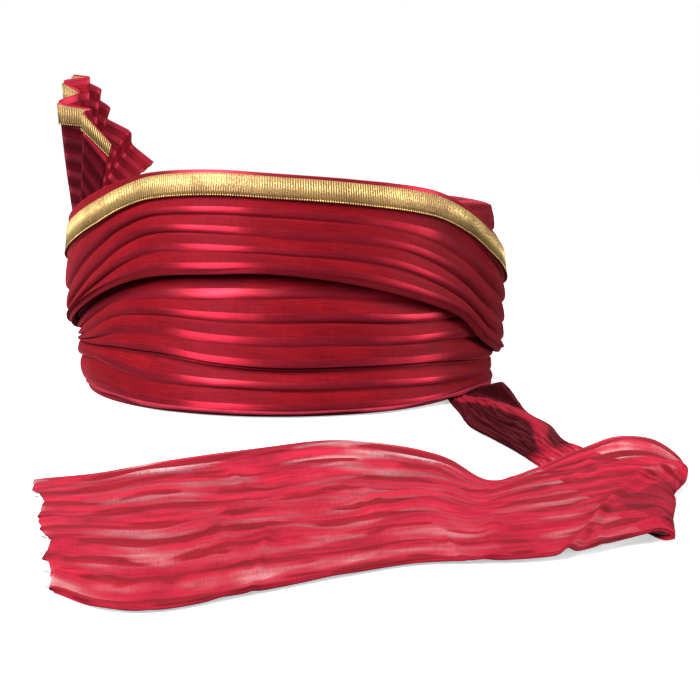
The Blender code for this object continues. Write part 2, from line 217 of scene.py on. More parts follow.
def striped_weave():
    """Satin bands on a sheer ground: x of the weave runs along the bands and y across them, in metres."""
    values = {
        "Pitch": STRIPE_PITCH, "Satin Share": 0.40, "Satin Roughness": 0.45, "Sheer Roughness": 0.72,
        "Satin Metallic": 0.7, "Satin Gloss": 0.1, "Unevenness": 0.03, "Openness": 0.0, "Broken Satin": 0.0,
        "Hem Width": 0.0, "Mottle": 0.2,
    }
    inputs = {"Weave": "Vector", "Satin": "Color", "Sheer": "Color", **dict.fromkeys(values, "Float")}
    masks = ("Roughness", "Metallic", "Gloss", "Height", "Cover")
    outputs = {"Color": "Color", **dict.fromkeys(masks, "Float")}
    values.update({"Satin": (*DEEP_SATIN, 1), "Sheer": (*SHEER_RED, 1)})
    tree, given, wanted = new_group("ShaderNodeTree", "Striped weave", inputs, outputs, values)
    split = add_node(tree, "ShaderNodeSeparateXYZ", {0: given["Weave"]}).outputs

    def times(first, second):
        return calculate(tree, "MULTIPLY", first, second)

    def rest_of(share):
        return calculate(tree, "SUBTRACT", 1.0, share)

    def streaks(along, across, detail=2.0, rough=0.5):
        """Noise drawn out along the threads; along and across are its scale on each metre of cloth."""
        stretched = {0: times(split[0], along), 1: times(split[1], across)}
        return noise(tree, result(tree, "ShaderNodeCombineXYZ", stretched), 1.0, detail, rough)

    sway = times(streaks(22, 60, 1), given["Unevenness"])
    count = calculate(tree, "DIVIDE", split[1], given["Pitch"])
    phase = calculate(tree, "FRACT", calculate(tree, "ADD", count, sway))
    middle = times(given["Satin Share"], 0.5)
    centre = calculate(tree, "ADD", middle, BAND_START)
    apart = calculate(tree, "ABSOLUTE", calculate(tree, "SUBTRACT", phase, centre))
    outer = calculate(tree, "ADD", middle, BAND_BLUR[0])
    inner = calculate(tree, "SUBTRACT", middle, BAND_BLUR[1])
    whole = map_range(tree, apart, outer, inner, way="SMOOTHSTEP")
    gaps = map_range(tree, streaks(30, 90), 0.47, 0.55, to_high=given["Broken Satin"], way="SMOOTHSTEP")
    band = times(whole, rest_of(gaps))
    hem = calculate(tree, "LESS_THAN", split[1], given["Hem Width"])
    threads, picks = streaks(60, 2600, 3, 0.65), streaks(2200, 90, 2, 0.6)
    grain = calculate(tree, "ADD", times(threads, 0.7), times(picks, 0.3))
    shade = map_range(tree, grain, 0.3, 0.7, 0.52, 1.56)
    light, dark = calculate(tree, "ADD", 1.0, given["Mottle"]), rest_of(given["Mottle"])
    patch = map_range(tree, streaks(26, 90, 3, 0.6), 0.3, 0.7, dark, light)
    tint = times(times(shade, patch), calculate(tree, "MULTIPLY_ADD", hem, -0.35, 1.0))
    grey = result(tree, "ShaderNodeCombineColor", {0: tint, 1: tint, 2: tint})
    cloth = mixed(tree, "RGBA", band, given["Sheer"], given["Satin"])
    thin = map_range(tree, streaks(26, 95), 0.45, 0.67, 0.08, 1.0)
    open_share = times(times(thin, given["Openness"]), shade)
    see_through = times(open_share, rest_of(calculate(tree, "MAXIMUM", band, hem)))
    results = {
        "Color": mixed(tree, "RGBA", 1.0, cloth, grey, "MULTIPLY"),
        "Roughness": mixed(tree, "FLOAT", band, given["Sheer Roughness"], given["Satin Roughness"]),
        "Metallic": times(band, given["Satin Metallic"]),
        "Gloss": times(band, given["Satin Gloss"]),
        "Height": calculate(tree, "ADD", grain, times(band, 0.4)),
        "Cover": rest_of(see_through),
    }
    for socket, output in results.items():
        tree.links.new(output, wanted[socket])
    return tree


STRIPED_WEAVE = striped_weave()


def new_material(name):
    """A material, its node tree and its shader."""
    material = bpy.data.materials.new(name)
    material.use_nodes = True
    return material, material.node_tree, material.node_tree.nodes["Principled BSDF"]


def striped_cloth(name, values=(), doubled_and_shade=None, sheen=0.3, shine=0.35):
    """A cloth finish made of the striped weave. Satin threads run along the bands, so gloss spreads across.
    The colour for doubled cloth and painted shade is mixed in where the piece's shade attribute says so."""
    material, tree, shader = new_material(name)
    weave = result(tree, "ShaderNodeUVMap", uv_map="weave")
    lie = result(tree, "ShaderNodeTangent", direction_type="UV_MAP", uv_map="weave")
    given = {"Weave": weave, **dict(values)}
    made = add_node(tree, "ShaderNodeGroup", given, node_tree=STRIPED_WEAVE).outputs
    relief = {"Height": made["Height"], "Strength": 1.0, "Distance": THREAD_RELIEF}
    looks = {
        "Base Color": made["Color"], "Roughness": made["Roughness"], "Metallic": made["Metallic"],
        "Coat Weight": made["Gloss"], "Coat Roughness": 0.42, "IOR": 1.45, "Specular IOR Level": shine,
        "Specular Tint": (*GLINT_RED, 1), "Anisotropic": 0.9, "Anisotropic Rotation": 0.25, "Tangent": lie,
        "Sheen Weight": sheen, "Sheen Roughness": 0.5, "Sheen Tint": (*SHEEN_RED, 1),
        "Normal": result(tree, "ShaderNodeBump", relief),
    }
    # Painted shade: where the shade attribute is set, the colour is mixed towards the given dark colour and
    # the cloth is made opaque.
    if doubled_and_shade:
        shade = add_node(tree, "ShaderNodeAttribute", attribute_name="shade").outputs["Fac"]
        cover = calculate(tree, "MULTIPLY_ADD", shade, 5.0, made["Cover"])
        looks["Base Color"] = mixed(tree, "RGBA", shade, made["Color"], (*doubled_and_shade, 1))
        looks["Alpha"] = calculate(tree, "MINIMUM", cover, 1.0)
    feed(tree, shader, looks)
    shader.distribution = "GGX"
    return material


def plain_cloth(name, colour, rough):
    """The same weave in one dull colour."""
    values = {"Satin": (*colour, 1), "Sheer": (*colour, 1), "Satin Metallic": 0.0, "Satin Roughness": rough}
    return striped_cloth(name, values)


WOUND_CLOTH = striped_cloth("wound_cloth_weave")
LINING_CLOTH = plain_cloth("lining_weave", LINING_RED, 0.8)
turns = np.linspace(-180, 180, RING_STEPS, endpoint=False)
crown_rows = smooth_rows([[ring.reach, ring.height] for ring in CROWN_RINGS], CROWN_STEPS)


def crown_skin(offset, relief):
    """One side of the cap, from its rim to its middle; the pleats lie across it from side to side."""
    rows = []
    for reach, height in crown_rows:
        loop = ring_points(turns, offset, height * FRONT_HEIGHT + offset)
        loop[:, :2] *= reach
        share = loop[:, 1] / STRIPE_PITCH
        lap = (share % 1) ** 0.7
        loop[:, 2] += relief * (0.5 - lap) * np.clip((1 - reach) * 6, 0, 1)
        rows.append(loop)
    rows[0][:, 2] = 2 * SEAT_GAP
    return rows


outside, inside = crown_skin(CROWN_WALL, CROWN_PLEAT_RELIEF), crown_skin(0, 0)
crown_grid = np.array(inside[::-1] + outside).transpose(1, 0, 2)


def crown_mesh():
    """The cap as one closed skin: inside, rim and outside, with its two poles closed."""
    rows, columns = crown_grid.shape[:2]
    poles = [crown_grid[:, 0].mean(0), crown_grid[:, -1].mean(0)]
    points = np.concatenate([crown_grid.reshape(-1, 3), poles])
    faces, lining_faces = [], []
    for i in range(rows):
        n = (i + 1) % rows
        for j in range(columns - 1):
            if j < len(crown_rows) - 1:
                lining_faces.append(len(faces))
            faces.append((i * columns + j, n * columns + j, n * columns + j + 1, i * columns + j + 1))
        lining_faces.append(len(faces))
        faces.append((i * columns, n * columns, rows * columns))
        faces.append((n * columns + columns - 1, i * columns + columns - 1, rows * columns + 1))
    loops = [points[k, :2] for face in faces for k in face]
    return cloth_mesh("crown_cover", points, loops, faces, WOUND_CLOTH, LINING_CLOTH, lining_faces)


crown = crown_mesh()
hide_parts("crown_cap")

# Wound wraps. Three turns of long striped cloth stand round the cap, each laid in soft lapped pleats with a
# satin band on the lip of every pleat. The base wrap rests on the surface and shows its woven edge, the
# middle wrap laps over it, and the front wrap, high at the front left and low behind, is stitched over both.
WINDING_THICKNESS = 14 * MM
FRONT_WRAP_THICKNESS = 5.4 * MM
WRAP_GAP = 0.5 * MM
PLEAT_DEPTH = 2.8 * MM
REST_FACE_WIDTH = 7 * MM
BASE_TUCK = 6 * MM
BASE_ROUNDING = 6 * MM
SELVAGE_WIDTH = 1.4 * MM
SELVAGE_THICKNESS = 0.7 * MM
SELVAGE_WAVE = 0.7 * MM
SELVAGE_PINK = (0.24, 0.016, 0.03)
BASE_PLEATS = 2
MIDDLE_PLEATS = 7
FRONT_PLEATS = 4
PLEAT_STEPS = 19
BASE_SEED, MIDDLE_SEED, FRONT_SEED, SELVAGE_SEED = 11, 21, 31, 77
GATHER_TURN = 88
EDGE_HOLLOW = 5.2 * MM
LACE_WIDTH = 11 * MM
LACE_LEAN = 1.3 * MM
TAIL_RELIEF = 3 * MM
TAIL_EXIT_TURN = 60
TAIL_EXIT_SPAN = 28
WINDING_INSIDE = CROWN_WALL + WRAP_GAP
WINDING_OUTSIDE = WINDING_INSIDE + WINDING_THICKNESS
FRONT_INSIDE = WINDING_OUTSIDE + WRAP_GAP
FRONT_OUTSIDE = FRONT_INSIDE + FRONT_WRAP_THICKNESS
CLOTH_AROUND = np.append(turns, 180) * radians(1) * (OPENING_HALF_WIDTH + WINDING_OUTSIDE)
Level = namedtuple("Level", "turn front_low lace_top lace_width front_top middle_low middle_top")
LEVELS = [Level(*row) for row in (
    (-180, 0.064, 0.376, 1.00, 0.392, 0.160, 0.832),
    (-150, 0.085, 0.430, 1.04, 0.450, 0.175, 0.820),
    (-125, 0.140, 0.535, 1.12, 0.560, 0.190, 0.750),
    (-106, 0.200, 0.635, 1.20, 0.665, 0.196, 0.630),
    (-90, 0.250, 0.670, 1.22, 0.706, 0.202, 0.600),
    (-70, 0.352, 0.758, 1.18, 0.798, 0.232, 0.640),
    (-50, 0.480, 0.868, 1.10, 0.905, 0.248, 0.745),
    (-40, 0.538, 0.930, 1.00, 0.955, 0.250, 0.810),
    (-30, 0.576, 0.980, 0.98, 0.990, 0.248, 0.862),
    (-15, 0.594, 1.000, 0.96, 1.004, 0.222, 0.900),
    (0, 0.598, 0.986, 0.92, 0.992, 0.206, 0.900),
    (20, 0.548, 0.956, 0.92, 0.964, 0.204, 0.884),
    (40, 0.451, 0.903, 0.98, 0.918, 0.194, 0.868),
    (52, 0.373, 0.829, 1.04, 0.850, 0.180, 0.860),
    (66, 0.230, 0.716, 1.10, 0.740, 0.152, 0.850),
    (90, 0.129, 0.573, 1.24, 0.595, 0.118, 0.820),
    (125, 0.077, 0.449, 1.12, 0.468, 0.119, 0.822),
    (150, 0.064, 0.395, 1.04, 0.413, 0.146, 0.834),
)]
# Line of one pleat from its tucked root over its lip to the next: share of its height, and relief.
PLEAT_LINE = [
    (0.0, -0.9), (0.03, -0.6), (0.07, 0.05), (0.12, 0.6), (0.2, 0.94), (0.32, 1.0), (0.46, 0.88), (0.6, 0.66),
    (0.74, 0.36), (0.87, -0.12), (1.0, -0.9),
]


def wave_table(turns, values, turn):
    """A smooth curve through a table that closes on itself after a full turn, read at angles in degrees."""
    turns, values = np.append(turns, turns[0] + 360), np.append(values, values[0])
    spot = (np.asarray(turn) + 180) % 360 - 180
    i = np.searchsorted(turns, spot, side="right") - 1
    count = len(turns) - 1
    before, after = (i - 1) % count, (i + 2) % count
    span = turns[i + 1] - turns[i]
    left, right = (turns[i] - turns[before]) % 360, (turns[after] - turns[i + 1]) % 360
    slope_in = (values[i + 1] - values[before]) / (left + span) * span
    slope_out = (values[after] - values[i]) / (span + right) * span
    return smooth_step(values[i], values[i + 1], slope_in, slope_out, (spot - turns[i]) / span)


def levels_at(turn):
    """The row of LEVELS at each of many turns, in metres."""
    table = np.array(LEVELS)
    shares = [wave_table(table[:, 0], table[:, k], turn) for k in range(1, table.shape[1])]
    row = Level(turn, *[share * FRONT_HEIGHT for share in shares])
    return row._replace(lace_width=shares[2] * LACE_WIDTH)


def pleat_rows(low, high, count, outer, to_low, to_high, seed):
    """Soft pleats from low to high: rows of (offset, height, place on the cloth) for all turns. to_low and
    to_high are how closely the pleats are gathered to the lower and to the upper edge at each turn."""
    line = smooth_rows(PLEAT_LINE, PLEAT_STEPS)[:-1]
    gathered = np.maximum(left_gather, right_gather)
    rows = []
    for pleat in range(count):
        depth = 0.66 + 0.5 * drift(turns, 0, seed + 7 * pleat, 1, 6) + 0.35 * gathered
        depth = np.clip(depth, 0.14, 1.25)
        for share, relief in line[4:] if pleat == 0 else line:
            place = pleat + share
            free = np.sin(np.pi * np.clip(place / count, 0, 1))
            wander = place + 0.12 * free * drift(turns, 0.5 * place, seed, 2, 8)
            fine = 0.10 * free * drift(turns, 2.3 * place, seed + 1, 12, 30)
            v = 1 - (1 - np.clip(wander / count, 0, 1) ** (1 + to_low)) ** (1 + to_high)
            offset = outer + PLEAT_DEPTH / 2 * ((relief - 0.6) * depth + 0.6 + fine)
            rows.append((offset, low + (high - low) * v, place * STRIPE_PITCH + 0 * turns))
    return rows


def wrapped_ring(name, cloth_rows, lining_points, lining_steps):
    """A closed wrap: the pleated rows outside, then a smooth way back over its top and down inside."""
    start, end = np.array(cloth_rows[-1]), np.array(cloth_rows[0])
    way = [start[:2]] + [np.array(np.broadcast_arrays(*p)) for p in lining_points] + [end[:2]]
    back = smooth_rows(np.array(way), lining_steps)[1:-1]
    run = np.cumsum(np.linalg.norm(np.diff(np.concatenate([[start[:2]], back]), axis=0), axis=1), axis=0)
    rows = [*cloth_rows, *[(p[0], p[1], start[2] + r) for p, r in zip(back, run)]]
    offset, height, place = (np.array(part).T for part in zip(*rows))
    grid = ring_points(turns[:, None], offset, np.maximum(height, 0))
    closed = np.append(np.arange(RING_STEPS), 0)
    last = place[:, -1:] + (place[:, -1:] - place[:, -2:-1])
    weave = np.stack(np.broadcast_arrays(CLOTH_AROUND[:, None], np.hstack([place, last])[closed]), axis=-1)
    return closed_ring(name, grid, weave, WOUND_CLOTH)


def winding_depth(share):
    """How far outside the head opening a share of the way through the windings is."""
    return WINDING_INSIDE + share * WINDING_THICKNESS


SELVAGE_CLOTH = plain_cloth("selvage_weave", SELVAGE_PINK, 0.7)
level = levels_at(turns)
left_gather = bump(turns, -GATHER_TURN, 60)
right_gather = bump(turns, GATHER_TURN, 60)


def base_selvage(offset, height):
    """The close-woven, paler edge of the cloth, which shows along the foot of the base wrap."""
    wave = SELVAGE_WAVE * (0.6 + drift(turns, 0, SELVAGE_SEED, 5, 16))
    low = np.maximum(height - SELVAGE_WIDTH + wave, 2 * SEAT_GAP)
    high = height + 0.3 * wave + 0.5 * SELVAGE_WIDTH
    corners = [(SEAT_GAP, low), (SELVAGE_THICKNESS, low), (SELVAGE_THICKNESS, high), (SEAT_GAP, high)]
    grid = np.stack([ring_points(turns, offset + out, z) for out, z in corners], axis=1)
    weave = np.zeros((RING_STEPS + 1, len(corners) + 1, 2))
    weave[..., 0] = CLOTH_AROUND[:, None]
    return closed_ring("base_selvage", grid, weave, SELVAGE_CLOTH)


def base_wrap():
    """The lowest wrap, flat where it rests and lifted off the tail where that leaves."""
    top = level.middle_low
    relief = TAIL_RELIEF * bump(turns, TAIL_EXIT_TURN, TAIL_EXIT_SPAN)
    rest_in, tuck = winding_depth(0.06), winding_depth(0.6)
    outer = WINDING_OUTSIDE - PLEAT_DEPTH / 2
    low = 0.10 * top + 0.9 * relief
    pleats = pleat_rows(low, top - 2 * WRAP_GAP, BASE_PLEATS, outer, 0, 1.1 * left_gather, BASE_SEED)
    rows = []
    for offset, height, place in pleats:
        under = 0.8 * EDGE_HOLLOW * bump(turns, -10, 80) * np.exp(-(((top - height) / (5 * MM)) ** 2))
        foot = BASE_ROUNDING * bump(turns, -75, 60) * np.clip(1 - height / (0.7 * top), 0, 1) ** 2
        rows.append((offset - under - foot, height, place))
    way = [
        (tuck + 0.2 * WINDING_THICKNESS, top - WRAP_GAP), (tuck, top + WRAP_GAP), (tuck, top + BASE_TUCK),
        (WINDING_INSIDE, top + BASE_TUCK), (WINDING_INSIDE, 0.6 * top), (WINDING_INSIDE, 0.12 * top),
        (rest_in, 0.02 * top), (rest_in + 0.5 * REST_FACE_WIDTH, 0 * top),
        (rest_in + REST_FACE_WIDTH - 0.7 * relief, 0 * top),
    ]
    edge_offset, edge_height, _ = rows[0]
    return wrapped_ring("base_winding", rows, way, 44), base_selvage(edge_offset, edge_height)


def hollow_under(height):
    """How far the middle wrap is drawn in under the hanging edge of the front wrap."""
    edge = level.front_low - 1.5 * MM
    return EDGE_HOLLOW * bump(turns, -12, 85) * np.exp(-(((height - edge) / (6.5 * MM)) ** 2))


def middle_wrap():
    """The thick winding in the middle, with a rolled top; its pleats gather at the left."""
    low, top = level.middle_low, level.middle_top
    outer = WINDING_OUTSIDE - PLEAT_DEPTH / 2
    high = top - 0.3 * WINDING_THICKNESS
    to_low = 1.4 * bump(turns, -GATHER_TURN, 46)
    pleats = pleat_rows(low, high, MIDDLE_PLEATS, outer, to_low, 0, MIDDLE_SEED)
    pleats = [(offset - hollow_under(height), height, place) for offset, height, place in pleats]
    lap = winding_depth(0.6) + WRAP_GAP
    over_base = low + BASE_TUCK + WRAP_GAP
    shoulder = top - 0.08 * WINDING_THICKNESS
    way = [
        (winding_depth(0.82), shoulder), (winding_depth(0.5), top), (winding_depth(0.2), shoulder),
        (WINDING_INSIDE, top - 0.35 * WINDING_THICKNESS), (WINDING_INSIDE, (top + over_base) / 2),
        (WINDING_INSIDE, over_base), (lap, over_base), (lap, low + WRAP_GAP),
    ]
    return wrapped_ring("middle_winding", pleats, way, 60)


def lace_seat(height):
    """How far out the smooth face of the front wrap is where the lace is sewn on."""
    share = (level.lace_top - height) / level.lace_width
    lean = LACE_LEAN * bump(turns, -GATHER_TURN, 45)
    return FRONT_OUTSIDE - (0.34 - 0.30 * share) * FRONT_WRAP_THICKNESS - lean


def front_wrap():
    """The outermost wrap, with the smooth seat of the lace along its top and a rolled lower edge."""
    low, lace_low, lace_top = level.front_low, level.lace_top - level.lace_width, level.lace_top
    outer = FRONT_OUTSIDE - PLEAT_DEPTH / 2
    start = low + 0.02 * FRONT_HEIGHT
    to_low = 1.9 * left_gather + 0.6 * right_gather
    pleats = pleat_rows(start, lace_low - WRAP_GAP, FRONT_PLEATS, outer, to_low, 0, FRONT_SEED)
    way = [(lace_seat(z), z) for z in (lace_low, (lace_low + lace_top) / 2, lace_top + WRAP_GAP)]
    way += [
        (FRONT_INSIDE + 0.42 * FRONT_WRAP_THICKNESS, level.front_top + WRAP_GAP),
        (FRONT_INSIDE + 0.12 * FRONT_WRAP_THICKNESS, lace_top - 0.3 * level.lace_width),
        (FRONT_INSIDE, lace_low - 0.2 * (lace_low - low)), (FRONT_INSIDE, low + 0.25 * (lace_low - low)),
        (FRONT_INSIDE, low + 0.03 * FRONT_HEIGHT), (FRONT_INSIDE + 0.45 * FRONT_WRAP_THICKNESS, low),
    ]
    return wrapped_ring("front_winding", pleats, way, 60)


base, selvage = base_wrap()
for wrap, solid in ((base, "base_wrap"), (middle_wrap(), "middle_wrap"), (front_wrap(), "front_wrap")):
    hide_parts(solid)

# Front lace. A stiff ribbon of gilt thread is stitched round the top of the front wrap: a flat woven strip
# with close upright ribs and a lower edge of tiny gilt loops. The ribs and loops are set by Geometry Nodes.
LACE_GAP = 0.45 * MM
LACE_STEPS = 6
RIBBON_THICKNESS = 0.45 * MM
RIB_PITCH = 1.25 * MM
RIB_RADIUS = 0.32 * MM
RIB_LIFT = 0.1 * MM
BEAD_RADIUS = 0.55 * MM
GILT_RELIEF = 0.1 * MM
# Painted shade: the gilt is darkened towards its far left end, between these two x places.
LEFT_SHADE_FROM, LEFT_SHADE_TO = -0.122, -0.088
GILT = (0.72, 0.53, 0.20)
DULL_GILT = (0.34, 0.22, 0.09)
GILT_GROUND = (0.20, 0.11, 0.045)


def gilt_thread(name, bright, dull):
    """Gilt metal thread: uneven from rib to rib and dull in the hollows; its far left end is darkened as
    painted shade.
    """
    material, tree, shader = new_material(name)
    place = add_node(tree, "ShaderNodeTexCoord").outputs["Object"]
    specks, patches = noise(tree, place, 900.0, 2.0), noise(tree, place, 70.0, 2.0)
    worn = calculate(tree, "MULTIPLY_ADD", patches, 0.6, calculate(tree, "MULTIPLY", specks, 0.6))
    side = result(tree, "ShaderNodeSeparateXYZ", {"Vector": place})
    # Painted shade: the gilt share falls to 0.4 towards the far left end, which makes it darker there.
    left_shade = map_range(tree, side, LEFT_SHADE_FROM, LEFT_SHADE_TO, 0.4)
    share = calculate(tree, "MULTIPLY", map_range(tree, worn, 0.45, 0.75), left_shade)
    relief = {"Height": specks, "Strength": 0.5, "Distance": GILT_RELIEF}
    looks = {
        "Base Color": mixed(tree, "RGBA", share, (*dull, 1), (*bright, 1)),
        "Roughness": mixed(tree, "FLOAT", share, 0.6, 0.4),
        "Metallic": 0.75,
        "Normal": result(tree, "ShaderNodeBump", relief),
    }
    feed(tree, shader, looks)
    return material


def shapes_group(name, sizes):
    """A Geometry Nodes group that takes a mesh, these sizes and a finish, and gives a mesh."""
    inputs = {"Geometry": "Geometry", **dict.fromkeys(sizes, "Float"), "Finish": "Material"}
    return new_group("GeometryNodeTree", name, inputs, {"Geometry": "Geometry"})


def read_attribute(tree, name, kind="FLOAT_VECTOR"):
    """The named attribute of each point."""
    return result(tree, "GeometryNodeInputNamedAttribute", {"Name": name}, data_type=kind)


def set_rods(tree, points, sides, radius, rotation, scale):
    """Rods of length 1 set on points, turned and scaled."""
    rod = add_node(tree, "GeometryNodeMeshCylinder", {"Vertices": sides, "Radius": radius, "Depth": 1.0})
    size = result(tree, "ShaderNodeCombineXYZ", dict(enumerate(scale)))
    place = {"Points": points, "Instance": rod.outputs["Mesh"], "Rotation": rotation, "Scale": size}
    return result(tree, "GeometryNodeInstanceOnPoints", place)


def hand_out(tree, shapes, finish, wanted):
    """Makes a real mesh of the instances, in the given finish, and hands it out."""
    real = result(tree, "GeometryNodeRealizeInstances", {"Geometry": shapes})
    made = add_node(tree, "GeometryNodeSetMaterial", {"Geometry": real, "Material": finish})
    tree.links.new(made.outputs[0], wanted[0])


def grown_piece(name, points, edges, attributes, tree, values):
    """The finished piece that a Geometry Nodes group grows on points with attributes, with values put in."""
    data = bpy.data.meshes.new(name)
    data.from_pydata([tuple(p) for p in points], edges, [])
    for label, rows in attributes.items():
        kind, field = ("FLOAT_VECTOR", "vector") if np.ndim(rows) == 2 else ("FLOAT", "value")
        layer = data.attributes.new(label, kind, "POINT")
        layer.data.foreach_set(field, np.asarray(rows, np.float32).ravel())
    bare = placed(name + "_points", data)
    modifier = bare.modifiers.new("grown", "NODES")
    modifier.node_group = tree
    for item in tree.interface.items_tree:
        if item.in_out == "INPUT" and item.name in values:
            modifier[item.identifier] = values[item.name]
    mesh = bpy.data.meshes.new_from_object(bare.evaluated_get(bpy.context.evaluated_depsgraph_get()))
    bpy.data.objects.remove(bare)
    piece = placed(name, mesh)
    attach(piece, "root")
    return piece


def lace_rib_tree():
    """Geometry Nodes that stand close ribs along a line of the lace, with a bead under each of them."""
    tree, given, wanted = shapes_group("Lace ribs", ("Rib Pitch", "Rib Radius", "Bead Radius"))
    upward, width = read_attribute(tree, "upward"), read_attribute(tree, "lace_width", "FLOAT")
    axes = {0: upward, 1: read_attribute(tree, "outward")}
    order = {"primary_axis": "Z", "secondary_axis": "Y"}
    turned = result(tree, "FunctionNodeAxesToRotation", axes, **order)
    curve = result(tree, "GeometryNodeMeshToCurve", {"Mesh": given["Geometry"]})
    spacing = {"Curve": curve, "Length": given["Rib Pitch"]}
    points = result(tree, "GeometryNodeCurveToPoints", spacing, mode="LENGTH")
    ribs = set_rods(tree, points, 6, given["Rib Radius"], turned, (1.0, 0.8, width))
    down = {0: upward, "Scale": calculate(tree, "MULTIPLY", width, -0.5)}
    lower = result(tree, "ShaderNodeVectorMath", down, operation="SCALE")
    hung = result(tree, "GeometryNodeSetPosition", {"Geometry": points, "Offset": lower})
    round_bead = {"Radius": given["Bead Radius"], "Subdivisions": 1}
    ball = result(tree, "GeometryNodeMeshIcoSphere", round_bead)
    beads = result(tree, "GeometryNodeInstanceOnPoints", {"Points": hung, "Instance": ball})
    joined = tree.nodes.new("GeometryNodeJoinGeometry")
    tree.links.new(ribs, joined.inputs[0])
    tree.links.new(beads, joined.inputs[0])
    hand_out(tree, joined.outputs[0], given["Finish"], wanted)
    return tree


GILT_THREAD = gilt_thread("gilt_thread", GILT, DULL_GILT)
RIBBON_GROUND = gilt_thread("gilt_ground", DULL_GILT, GILT_GROUND)
LACE_RIBS = lace_rib_tree()


def lace_ribs(name, middle, upward, outward, width, closed, finish=GILT_THREAD):
    """The ribs and loops of a lace whose middle line, directions and width are given point by point."""
    count = len(middle)
    edges = [(k, (k + 1) % count) for k in range(count if closed else count - 1)]
    attributes = {"upward": upward, "outward": outward, "lace_width": width}
    values = {"Rib Pitch": RIB_PITCH, "Rib Radius": RIB_RADIUS, "Bead Radius": BEAD_RADIUS, "Finish": finish}
    ribs = grown_piece(name, middle, edges, attributes, LACE_RIBS, values)
    ribs.data.shade_smooth()
    return ribs


def unit(vectors):
    """Vectors brought to length 1."""
    return vectors / np.linalg.norm(vectors, axis=-1, keepdims=True)


def front_lace():
    """The ribbon on the front wrap, as a closed strip, with its ribs in front."""
    low, high = level.lace_top - level.lace_width, level.lace_top
    heights = [low + (high - low) * share for share in np.linspace(0, 1, LACE_STEPS)]
    inner = [(lace_seat(z) + LACE_GAP, z) for z in heights]
    outer = [(offset + RIBBON_THICKNESS, z) for offset, z in inner]
    section = outer + inner[::-1]
    offset, height = (np.array(part).T for part in zip(*section))
    grid = ring_points(turns[:, None], offset, height)
    weave = np.zeros((RING_STEPS + 1, len(section) + 1, 2))
    ribbon = closed_ring("front_ribbon", grid, weave, RIBBON_GROUND)
    face = offset[:, [0, LACE_STEPS - 1]] + RIB_LIFT
    lower, upper = (ring_points(turns, face[:, k], z) for k, z in ((0, low), (1, high)))
    upward = unit(upper - lower)
    along = np.roll(upper, -1, axis=0) - np.roll(upper, 1, axis=0)
    outward = unit(np.cross(upward, along))
    out_of = np.sign((outward * (upper * [1, 1, 0])).sum(axis=1, keepdims=True))
    width = np.linalg.norm(upper - lower, axis=1)
    ribs = lace_ribs("front_lace_ribs", (lower + upper) / 2, upward, outward * out_of, width, True)
    return ribbon, ribs, grid


ribbon, ribs, lace_grid = front_lace()
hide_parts("front_lace")

# Side fan. The free end of the cloth is folded like an accordion, pinned between the windings at the left,
# and opens upwards; its rim carries the same gilt lace, stitched to one side of the cloth.
CLOTH = 0.5 * MM
FAN_REACH = 103 * MM
FAN_ROOT_SPREAD = 7 * MM
FAN_ROOT_PITCH = 2.9 * MM
FAN_ROOT_TURN = -88
FAN_STEPS = 70
PANEL_STEPS = 12
FOLD_ROUNDING = 1.9
FAN_STRIPE_PITCH = 9 * MM
CLOTH_EDGE = 1.2 * MM
# Painted light: the fan's satin and sheer colours are a brighter copy of the wound cloth's colours, standing
# in for light on its panels.
FAN_SATIN_LIT = (0.34, 0.014, 0.036)
FAN_SHEER_LIT = (0.17, 0.0065, 0.0115)
# Painted shade colour for the lace side of the fan below the lace.
FAN_SHADE = (0.020, 0.0008, 0.0018)
# Painted shade: a darker copy of the gilt colour, used for the fan's lace.
FAN_GILT_SHADED = (0.46, 0.36, 0.13)
FAN_LACE_WIDTH = 10.5 * MM
Crease = namedtuple("Crease", "outward x y z bend")
CREASES = [Crease(*row) for row in (
    (-1, 0.185, -0.165, 0.590, 0.10),
    (1, 0.050, -0.215, 0.752, 0.10),
    (-1, 0.085, -0.085, 0.760, 0.10),
    (1, -0.113, -0.108, 0.800, -0.30),
    (-1, 0.010, 0.028, 0.850, 0.10),
    (1, -0.121, 0.105, 0.913, 0.05),
    (-1, 0.040, 0.185, 0.930, 0.22),
    (1, -0.096, 0.240, 0.946, 0.28),
    (-1, 0.077, 0.300, 0.860, 0.40),
    (1, -0.020, 0.378, 0.843, 0.50),
    (-1, 0.104, 0.380, 0.760, 0.60),
    (1, 0.040, 0.475, 0.706, 0.70),
    (-1, 0.200, 0.456, 0.628, 0.75),
    (1, 0.180, 0.553, 0.552, 0.70),
    (-1, 0.309, 0.553, 0.448, 0.50),
)]


